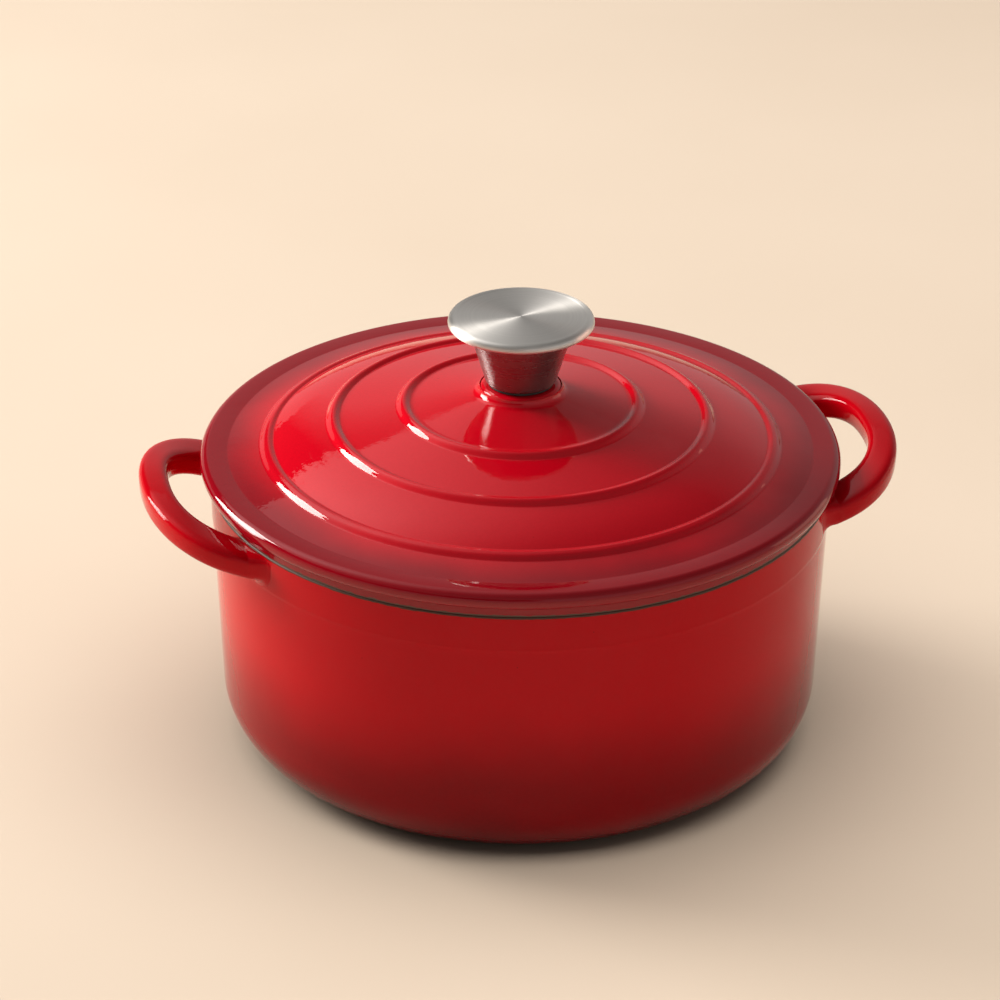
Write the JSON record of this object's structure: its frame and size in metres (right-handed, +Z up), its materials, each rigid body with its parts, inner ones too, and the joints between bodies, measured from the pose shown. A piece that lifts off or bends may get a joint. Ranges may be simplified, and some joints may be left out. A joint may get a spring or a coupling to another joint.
{
  "type": "cast iron dutch oven",
  "caption": "Round enamelled cast iron cooking pot with cast loop handles and a domed, ridged lid with a steel knob.",
  "frame": {"origin": "centre of the base, on the surface that the pot stands on", "axes": "+Z up along the pot's axis, +X through one loop handle"},
  "size_m": [0.3058, 0.256, 0.1804],
  "materials": {
    "pot_enamel": "glossy red vitreous enamel outside, cream enamel inside, matt dark rim",
    "lid_enamel": "glossy red vitreous enamel on top, cream enamel underneath, matt dark seat",
    "brushed_cap": "circular brushed stainless steel",
    "satin_skirt": "satin stainless steel",
    "plated_steel": "plain stainless fastener finish",
    "black_silicone": "matt"
  },
  "bodies": {
    "pot": {"pot_body": "pot_enamel"},
    "lid": {"lid": "lid_enamel", "knob_cap": "brushed_cap", "knob_skirt": "satin_skirt", "knob_threaded_bush": "plated_steel", "knob_gasket": "black_silicone", "knob_screw": "plated_steel", "plain_washer": "plated_steel", "spring_washer": "plated_steel"}
  },
  "joints": [
    {"name": "lid_lift", "type": "slide", "parent": "pot", "child": "lid", "axis": [0, 0, 1], "range_m": [0, 0.12]}
  ]
}
